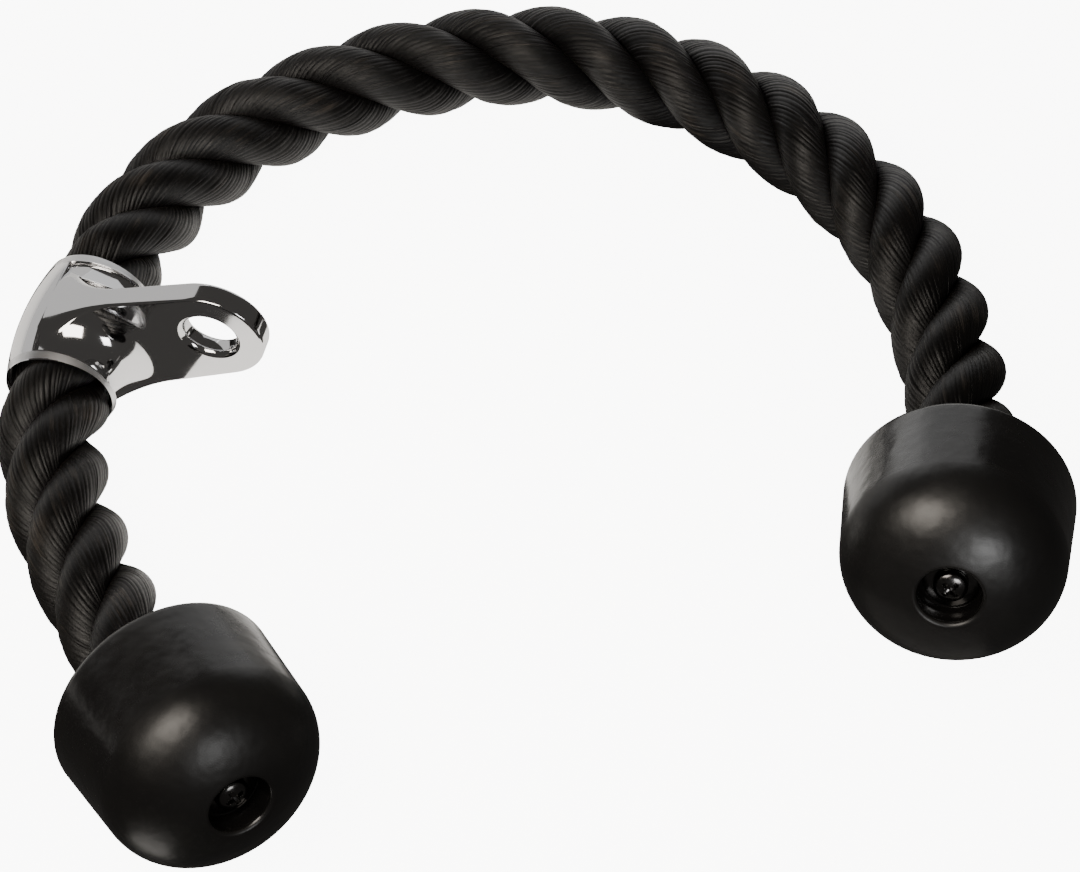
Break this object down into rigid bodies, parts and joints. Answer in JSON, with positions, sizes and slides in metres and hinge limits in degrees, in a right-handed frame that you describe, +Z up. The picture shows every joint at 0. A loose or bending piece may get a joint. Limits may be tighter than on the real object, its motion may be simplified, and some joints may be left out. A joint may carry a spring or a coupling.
{
  "type": "triceps rope attachment",
  "caption": "Pull-down rope for a cable machine: laid rope bent in an open U, rubber end caps held by screws and ferrules, and a chromed eye that turns on the rope.",
  "frame": {"origin": "centre of the resting outline, on the surface that the rope and caps lie on", "axes": "+Z up from that surface, -Y towards the open side and the two end caps, +X towards the right cap"},
  "size_m": [0.303, 0.3071, 0.0699],
  "materials": {
    "rope": "matt black laid synthetic rope",
    "rubber": "satin moulded rubber",
    "chrome": "bright chrome plate over a smooth casting",
    "black_steel": "blackened steel",
    "plain_steel": "plain crimped steel"
  },
  "bodies": {
    "rope_and_caps": {"rope": "rope", "left_end_cap": "rubber", "right_end_cap": "rubber", "left_cap_screw": "black_steel", "right_cap_screw": "black_steel", "left_cap_washer": "black_steel", "right_cap_washer": "black_steel", "left_rope_ferrule": "plain_steel", "right_rope_ferrule": "plain_steel"},
    "eye": {"eye_bracket": "chrome"}
  },
  "joints": [
    {"name": "eye_swivel", "type": "hinge", "parent": "rope_and_caps", "child": "eye", "pos_m": [-0.131, 0.0257, 0.0187], "axis": [-0.2554, -0.9668, 0], "continuous": true}
  ]
}
